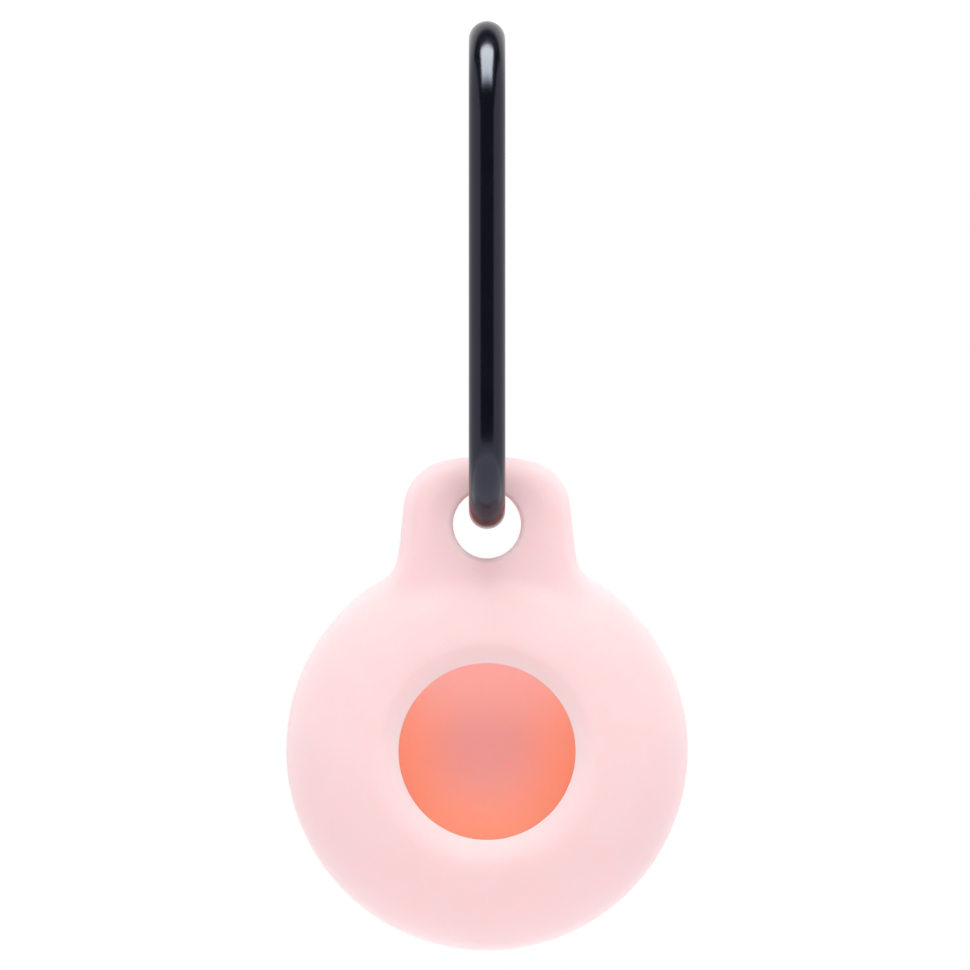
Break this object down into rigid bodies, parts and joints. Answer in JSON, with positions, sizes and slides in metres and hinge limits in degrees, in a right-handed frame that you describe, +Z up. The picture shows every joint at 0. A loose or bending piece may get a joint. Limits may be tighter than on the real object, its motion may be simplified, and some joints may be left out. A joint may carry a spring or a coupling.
{
  "type": "tracker tag holder",
  "caption": "Round silicone sleeve with an open-fronted pocket for a coin-shaped tracker tag, hung by its eyelet tab from a slim wire carabiner with a sprung gate.",
  "frame": {"origin": "the hanging point: the underside of the carabiner's top bar, in the middle of the loop", "axes": "+Z up, +Y from the sleeve's open front to its closed back, +X to the right across the sleeve"},
  "size_m": [0.04, 0.024, 0.0922],
  "materials": {
    "pink_silicone": "moulded translucent silicone, satin",
    "black_anodised": "polished and black anodised",
    "pin_steel": "drawn bright"
  },
  "bodies": {
    "carabiner": {"carabiner_frame": "black_anodised"},
    "gate": {"carabiner_gate": "black_anodised", "hinge_rivet": "pin_steel", "latch_pin": "pin_steel", "gate_spring": "pin_steel"},
    "plunger": {"spring_plunger": "pin_steel"},
    "sleeve": {"silicone_sleeve": "pink_silicone"}
  },
  "joints": [
    {"name": "gate_hinge", "type": "hinge", "parent": "carabiner", "child": "gate", "pos_m": [0, 0.0102, -0.0342], "axis": [1, 0, 0], "range_deg": [0, 30], "stiffness_Nm_per_rad": 0.06, "springref_deg": -34.38},
    {"name": "plunger_slide", "type": "slide", "parent": "gate", "child": "plunger", "axis": [0, 0, 1], "range_m": [0, 0.0006], "deforming": ["gate_spring"]},
    {"name": "sleeve_swing", "type": "hinge", "parent": "carabiner", "child": "sleeve", "pos_m": [0, 0, -0.0449], "axis": [0, 1, 0], "range_deg": [-110, 110]}
  ],
  "couplings": [
    {"joint": "plunger_slide", "follows": "gate_hinge", "m_per_rad": 0.0010412}
  ]
}
